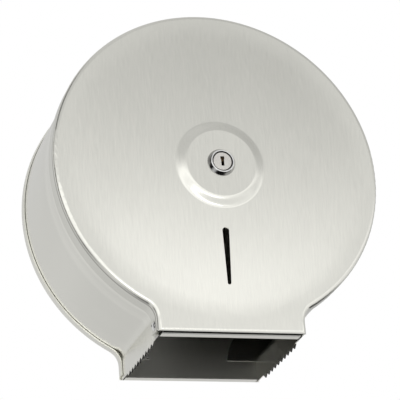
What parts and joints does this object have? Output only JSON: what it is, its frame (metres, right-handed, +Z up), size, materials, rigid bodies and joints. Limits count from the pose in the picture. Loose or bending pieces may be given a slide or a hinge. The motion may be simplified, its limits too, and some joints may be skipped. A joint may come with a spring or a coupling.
{
  "type": "jumbo toilet roll dispenser",
  "caption": "Round wall-mounted dispenser in stainless sheet for a large paper roll, with a bottom-hinged front cover, a centre cam lock, a turning hub and a saw-toothed paper mouth.",
  "frame": {"origin": "centre of the four wall holes, where the spindle axis meets the wall plane", "axes": "+Y points into the wall, the cover faces -Y, +X is to the viewer's right, +Z is up"},
  "size_m": [0.269, 0.1315, 0.278],
  "materials": {
    "cover_sheet": "fine vertical brushed grain, satin",
    "case_sheet": "satin mill grain along the band",
    "spindle_steel": "drawn tube, satin",
    "rivet_steel": "bright, slightly satin",
    "zinc_plate": "bright zinc plating",
    "lock_chrome": "polished chrome",
    "wafer_brass": "stamped brass",
    "nylon": "natural nylon",
    "hub_plastic": "fine moulded grain"
  },
  "bodies": {
    "case": {"back_plate": "case_sheet", "side_wall": "case_sheet", "spindle_flange": "spindle_steel", "spindle_rivets": "zinc_plate", "spindle_tube": "spindle_steel", "keeper_cap": "zinc_plate", "hub_washer_rear": "nylon", "hub_washer_front": "nylon", "hinge_rivet_left": "rivet_steel", "hinge_rivet_right": "rivet_steel", "hinge_spacer_left": "nylon", "hinge_spacer_right": "nylon", "hinge_burr_left": "zinc_plate", "hinge_burr_right": "zinc_plate"},
    "hub": {"roll_hub": "hub_plastic"},
    "cover": {"cover_panel": "cover_sheet", "lock_body": "lock_chrome", "lock_washer": "zinc_plate", "lock_nut": "zinc_plate"},
    "plug": {"lock_plug": "lock_chrome", "lock_wafers": "wafer_brass", "lock_cam": "zinc_plate", "cam_washer": "zinc_plate", "cam_screw": "zinc_plate"}
  },
  "joints": [
    {"name": "cover_hinge", "type": "hinge", "parent": "case", "child": "cover", "pos_m": [0, -0.11, -0.13201], "axis": [1, 0, 0], "range_deg": [0, 94]},
    {"name": "lock_turn", "type": "hinge", "parent": "cover", "child": "plug", "pos_m": [0, -0.12, 0], "axis": [0, 1, 0], "range_deg": [0, 90]},
    {"name": "hub_spin", "type": "hinge", "parent": "case", "child": "hub", "pos_m": [0, -0.056, 0], "axis": [0, 1, 0], "continuous": true}
  ]
}
